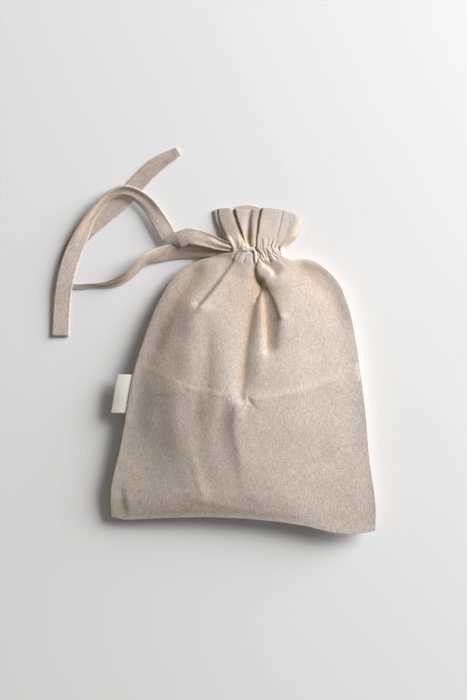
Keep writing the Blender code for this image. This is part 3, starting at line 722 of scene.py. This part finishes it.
# Where the strip's middle runs, how many degrees it rolls, and its width's share.
tieRoute = {"columns": ("name", "x", "y", "z", "roll", "spread"), "rows": (
    ("leftEnd",    -200.0,  70.0,  1.6,  -4, 1.00),
    ("leftLow",    -198.5, 100.0,  2.4,  -4, 1.00),
    ("leftMiddle", -195.5, 126.0,  3.8,  -4, 1.00),
    ("leftHigh",   -189.0, 153.0,  4.0,  -6, 1.00),
    ("leftTurn",   -178.5, 178.0,  4.2, -12, 0.94),
    ("climb",      -166.0, 202.0,  4.8, -28, 0.72),
    ("crest",      -149.5, 221.5,  6.0, -34, 0.62),
    ("top",        -134.0, 230.0,  6.6, -18, 0.70),
    ("overLoop",   -119.0, 228.0,  6.6, -10, 0.76),
    ("descend",    -103.5, 216.5,  6.2,  -8, 0.88),
    ("descendLow",  -93.0, 202.5,  5.6,  -2, 0.94),
    ("beforeFold",  -85.3, 190.2,  5.2,   2, 0.98),
    ("foldStart",   -79.9, 179.5,  5.2,   0, 1.00),
    ("fold",        -76.3, 172.2,  6.2,   0, 1.31),
    ("foldEnd",     -69.5, 176.4,  8.2,   0, 1.00),
    ("afterFold",   -57.5, 180.4,  9.4,  -6, 1.00),
    ("bend",        -46.5, 178.6, 10.2,  -9, 0.94),
    ("beforeNeck",  -35.5, 175.6, 11.0,  -6, 0.84),
    ("atNeck",      -25.0, 171.6, 11.8,  -6, 0.70),
    ("inMouth",     -13.0, 168.5, 12.5,  -8, 0.52),
    ("frontRun",      2.0, 167.0,  9.4,   0, 0.46),
    ("frontEnd",     32.0, 165.0,  9.4,   0, 0.46),
    ("round",        39.0, 164.6,  7.3,   0, 0.46),
    ("backEnd",      32.0, 165.0,  5.2,   0, 0.46),
    ("backRun",       2.0, 167.0,  5.2,   0, 0.46),
    ("outMouth",    -14.0, 165.5,  9.0,   2, 0.54),
    ("besideNeck",  -30.0, 164.2,  7.0,  -4, 0.70),
    ("underFront",  -52.0, 164.0,  5.0,  20, 0.86),
    ("underBend",   -74.0, 163.6,  3.2,  16, 0.97),
    ("turnDown",    -90.0, 160.0,  4.6,  28, 0.96),
    ("slope",      -106.4, 153.0,  7.6,  58, 0.96),
    ("slopeLow",   -126.5, 136.0,  6.4,  56, 0.72),
    ("onEdge",     -146.0, 128.0,  3.6,  44, 0.42),
    ("onEdgeEnd",  -168.0, 126.0,  1.8,  20, 0.32),
    ("under",      -186.0, 126.0,  1.0,   4, 0.32),
    ("underTurn",  -195.5, 135.0,  1.0,   4, 0.42),
    ("underClimb", -196.0, 150.0,  1.0,   4, 0.60),
    ("emerge",     -187.5, 168.5,  1.0,   2, 0.85),
    ("flat",       -169.0, 188.5,  1.0,   0, 1.00),
    ("flatMiddle", -148.0, 206.5,  1.2,   0, 1.00),
    ("underTop",   -130.5, 221.0,  1.2,   2, 1.00),
    ("upper",      -116.5, 237.5,  1.0,   3, 1.00),
    ("upperBend",   -99.5, 255.0,  1.2,   5, 0.96),
    ("upperLow",    -86.0, 265.5,  1.6,   9, 0.84),
    ("upperEnd",    -68.5, 275.0,  2.6,  18, 0.62),
)}


# The strip's cross line: square to the route in plan, half a turn round before the flat fold and swung back
# through it, held along Y on the loop inside the neck, and past the turn there on the route's other hand.
def tieCross(place):
    last = len(tieRoute["rows"]) - 1
    ahead, behind = (np.clip(place + step, 0, last) for step in (tie["lookAhead"], -tie["lookAhead"]))
    stepX, stepY = np.subtract(curves(tieRoute, "x y", ahead), curves(tieRoute, "x y", behind))
    stops = ("fold", "inMouth", "round", "outMouth")
    fold, enters, turns, leaves = (rowPlace(tieRoute, name) for name in stops)
    swing = math.pi - math.pi / 2 * (smoothStep(fold - 1, fold, place) + smoothStep(fold, fold + 1, place))
    hand = np.where(place > turns, -1.0, 1.0) / np.maximum(np.hypot(stepX, stepY), 1e-9)
    squareX, squareY = -stepY * hand, stepX * hand
    inside = smoothStep(enters, enters + 1, place) * (1 - smoothStep(leaves - 1, leaves, place))
    crossX = squareX * np.cos(swing) - squareY * np.sin(swing)
    crossY = squareX * np.sin(swing) + squareY * np.cos(swing)
    return crossX * (1 - inside), crossY * (1 - inside) + inside


# The route's length up to each place, by short straight steps.
def tieLength(place):
    fine = np.linspace(0, len(tieRoute["rows"]) - 1, tie["measureSteps"])
    return np.interp(place, fine, runLength(np.stack(curves(tieRoute, "x y z", fine), axis=-1)))


def bunching(spread):
    return np.clip((1 - spread) / tie["bunchFull"], 0, 1)


# The strip's skin at places along the route, given how far each point is across and up through it, from -1 to
# 1: carried along the route, leaned by the roll, and rippled lengthwise by a cosine where it is bunched.
def tieSection(place, sideways, upward):
    x, y, z, roll, spread = (part[:, None] for part in curves(tieRoute, "x y z roll spread", place))
    crossX, crossY = (part[:, None] for part in tieCross(place))
    along = tieLength(place)[:, None]
    lean, half = np.radians(roll), spread * tie["width"] / 2
    lowest = tie["thickness"] / 2 * np.cos(lean) + np.abs(np.sin(lean)) * half + tie["floorGap"]
    z = np.maximum(z, lowest)
    ripple = (bunching(spread) * tie["ripple"] * smoothStep(*tie["rippleFrom"], z)
              * np.cos(sideways * tie["rippleWide"] + along * tie["rippleTwist"]))
    bumps = latticeNoise(along / tie["waverLong"], sideways * tie["waverWide"] + tie["waverShift"],
                         tie["waverSeed"])
    waver = tie["waver"] * bumps * np.clip(lowest, 0, 1) * (z >= tie["waverFrom"])
    local = upward * tie["thickness"] / 2 + ripple + waver
    offset = sideways * half
    flatX = offset * np.cos(lean) - local * np.sin(lean)
    height = np.maximum(z + offset * np.sin(lean) + local * np.cos(lean), tie["floorGap"])
    return np.stack((x + crossX * flatX, y + crossY * flatX, height), axis=-1)


# Through the flat fold the skin runs straight from one row's cross line to the next: two flat triangles.
def tieSkin(place, sideways, upward):
    folded = (place > rowPlace(tieRoute, "foldStart")) & (place < rowPlace(tieRoute, "foldEnd"))
    low, high = np.where(folded, np.floor(place), place), np.where(folded, np.ceil(place), place)
    share = (place - low)[:, None, None]
    return tieSection(low, sideways, upward) * (1 - share) + tieSection(high, sideways, upward) * share


# Round the strip: a flattened ring, powers of cos and sin, with flat faces and round folded edges.
def makeTie(finish):
    last = len(tieRoute["rows"]) - 1
    place = np.linspace(0, last, last * tie["steps"] + 1)
    turn = np.linspace(0, 2 * math.pi, tie["around"], endpoint=False)
    sideways = np.sign(np.cos(turn)) * np.abs(np.cos(turn)) ** tie["edgePower"]
    upward = np.sign(np.sin(turn)) * np.abs(np.sin(turn)) ** tie["facePower"]
    points = tieSkin(place, sideways[None, :], upward[None, :]) * millimetre
    rows, around = points.shape[:2]
    ring = np.arange(around // 2 - 1)
    startCap = np.stack((ring + 1, ring, (around - ring) % around, around - ring - 1), axis=-1)
    endCap = startCap[:, ::-1] + (rows - 1) * around
    faces = np.concatenate((gridFaces(rows, around, closed=True), startCap, endCap))
    along = tieLength(place)
    uv = np.stack(np.broadcast_arrays(sideways * tie["width"] / 2, along[:, None]), axis=-1) * millimetre
    bunched = bunching(curves(tieRoute, "spread", place)[0])[:, None]
    # Edges lighter as wear, the faces a little darker all over, and painted shade where the strip is bunched.
    wear = np.abs(sideways) ** tie["edgeWear"] - tie["faceWear"] - bunched * tie["bunchShade"]
    piece = meshPiece("cloth_tie", points, faces, finish, uv, wear=wear, steep=steepness(points))
    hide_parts("tie")
    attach(piece, "root")
    print("tie length in millimetres", round(float(along[-1])))


# Stitches: their size and spacing, and where the rows run.
stitch = {"length": 2.3, "pitch": 3.3, "radius": 0.26, "tip": 0.04, "arch": 0.16, "rings": 5, "sides": 6,
          "fromEdge": 0.83, "tieEnds": (0.15, 0.2), "boxPlaces": (43.1, 43.75), "boxAcross": 0.62,
          "bandPlaces": (9.95, 11.15), "bandEnd": 0.94, "lifted": 3.0,
          "edgeSteps": 1500, "boxSteps": 161, "bandSteps": 400}


# Each stitch: rings round its own line, fattest in the middle by the root of one less the square, arched up
# by the same square, its ends let into the cloth. Lifted is the same path a little above the cloth.
def makeStitches(name, path, lifted, finish):
    run = runLength(path)
    where = np.arange(stitch["pitch"] / 2, run[-1], stitch["pitch"])

    def at(line, length):
        return np.stack([np.interp(length, run, line[:, axis]) for axis in range(3)], axis=-1)

    def unit(direction):
        return direction / np.linalg.norm(direction, axis=1, keepdims=True)

    centre = at(path, where)
    heading = unit(at(path, where + stitch["length"] / 2) - at(path, where - stitch["length"] / 2))
    normal = at(lifted, where) - centre
    normal = unit(normal - heading * np.sum(normal * heading, axis=1, keepdims=True))
    side = np.cross(normal, heading)
    rings = np.linspace(-1, 1, stitch["rings"])[:, None]
    turn = np.linspace(0, 2 * math.pi, stitch["sides"], endpoint=False)
    swell = stitch["radius"] * np.sqrt(1 + stitch["tip"] - rings ** 2)
    outward, upward = swell * np.cos(turn), swell * np.sin(turn) + stitch["arch"] * (1 - rings ** 2)
    forward = rings * stitch["length"] / 2
    points = (centre[:, None, None] + heading[:, None, None] * forward[..., None]
              + side[:, None, None] * outward[..., None] + normal[:, None, None] * upward[..., None])
    endRing = (stitch["rings"] - 1) * stitch["sides"]
    starts, ends = np.array([(0, 3, 2, 1), (0, 5, 4, 3)]), np.array([(0, 1, 2, 3), (0, 3, 4, 5)]) + endRing
    single = np.concatenate((gridFaces(stitch["rings"], stitch["sides"], closed=True), starts, ends))
    first = np.arange(len(centre))[:, None, None] * stitch["rings"] * stitch["sides"]
    piece = meshPiece(name, points * millimetre, (single + first).reshape(-1, 4), finish)
    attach(piece, "root")


# A row of stitches on the tie's skin, through places along it and across it.
def stitchTie(name, place, across, finish):
    path, lifted = (tieSkin(place, across[:, None], np.full((1, 1), height))[:, 0]
                    for height in (1.0, stitch["lifted"]))
    makeStitches(name, path, lifted, finish)


# Both long edges of the tie, the box at its end, and the two rows that hold the neck's channel.
def makeAllStitches(finish):
    last = len(tieRoute["rows"]) - 1
    place = np.linspace(stitch["tieEnds"][0], last - stitch["tieEnds"][1], stitch["edgeSteps"])
    for name, side in (("tie_stitches_left", -1), ("tie_stitches_right", 1)):
        stitchTie(name, place, np.full_like(place, side * stitch["fromEdge"]), finish)
    low, high = stitch["boxPlaces"]
    wide = stitch["boxAcross"]
    share, corners = np.linspace(0, 4, stitch["boxSteps"]), np.arange(5)
    stitchTie("tie_stitches_end", np.interp(share, corners, (low, high, high, low, low)),
              np.interp(share, corners, (-wide, -wide, wide, wide, -wide)), finish)
    across = np.linspace(-stitch["bandEnd"], stitch["bandEnd"], stitch["bandSteps"])[None, :]
    for name, bandPlace in zip(("band_stitches_low", "band_stitches_high"), stitch["bandPlaces"]):
        x, y, z, detail = frontSurface(across, np.full_like(across, bandPlace))
        path = np.stack((x, y, z + bag["thickness"] / 2), axis=-1)[0]
        makeStitches(name, path, path + np.array([0, 0, 1.0]), finish)


# The label tab: its place, plies and curl.
label = {"top": 28.0, "bottom": -14.5, "reach": 17.0, "tuck": 4.0, "droop": 2.0, "ply": 0.42, "space": 0.5,
         "curl": 0.5, "curlLength": 9.0, "plySteps": 16, "foldSteps": 5, "foldPart": (0.15, 0.85),
         "tallSteps": 40}


# Tape folded double: from inside the seam along the lower ply, in a half circle round the fold and back on
# the upper one. It droops by the square of the way out, and a sine along its height curls it.
def makeLabel(finish):
    radius = label["space"] / 2
    flatRun = label["reach"] + label["tuck"] - radius
    foldRun = math.pi * radius
    onPly = np.linspace(0, flatRun, label["plySteps"])
    onFold = flatRun + foldRun * np.linspace(*label["foldPart"], label["foldSteps"])
    travel = np.concatenate((onPly, onFold, flatRun + foldRun + onPly))
    angle = np.clip((travel - flatRun) / foldRun, 0, 1) * math.pi
    upward = -np.cos(angle) * radius
    outward = np.minimum(np.minimum(travel, flatRun), 2 * flatRun + foldRun - travel) + np.sin(angle) * radius
    seamY, out = np.meshgrid(np.linspace(label["bottom"], label["top"], label["tallSteps"]),
                             outward - label["tuck"], indexing="ij")
    place = np.interp(seamY, column(sections, "leftY"), np.arange(len(sections["rows"])))
    left = np.full_like(place, -1.0)
    share = (out / label["reach"]).clip(0)
    curl = label["curl"] * np.sin(seamY / label["curlLength"]) * share
    z = seamHeight(left, place) - label["droop"] * share ** 2 + upward + curl
    points = np.stack((planPoints(left, place)[0] - out, seamY, z), axis=-1) * millimetre
    uv = np.stack(np.broadcast_arrays(seamY, travel), axis=-1) * millimetre
    piece = meshPiece("side_tab", points, gridFaces(*seamY.shape)[:, ::-1], finish, uv)
    thicken(piece, label["ply"])
    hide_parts("label_tab")
    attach(piece, "root")


makeCamera()
makeLights()
corners = np.array([(-1, -1), (1, -1), (1, 1), (-1, 1)]) * ground["size"] / 2
floorPoints = np.insert(corners, 2, -ground["drop"], axis=1)
floor = meshPiece("floor", floorPoints, np.arange(4)[None, :], floorFinish())
print("camera, light and floor made")
linenCloth = linenFinish("linen_cloth")
front = makePanel("bag_front", "front_panel", bag["columnZones"], bag["rows"], frontSurface, linenCloth)
back = makePanel("bag_back", "back_panel", bag["backZones"], bag["backRows"], backSurface, linenCloth)
back.data.flip_normals()
print("panels made")
makeTie(linenFinish("linen_tie", tie["glow"]))
makeLabel(tapeFinish())
print("tie and tab made")
makeAllStitches(threadFinish())
print("stitches made")
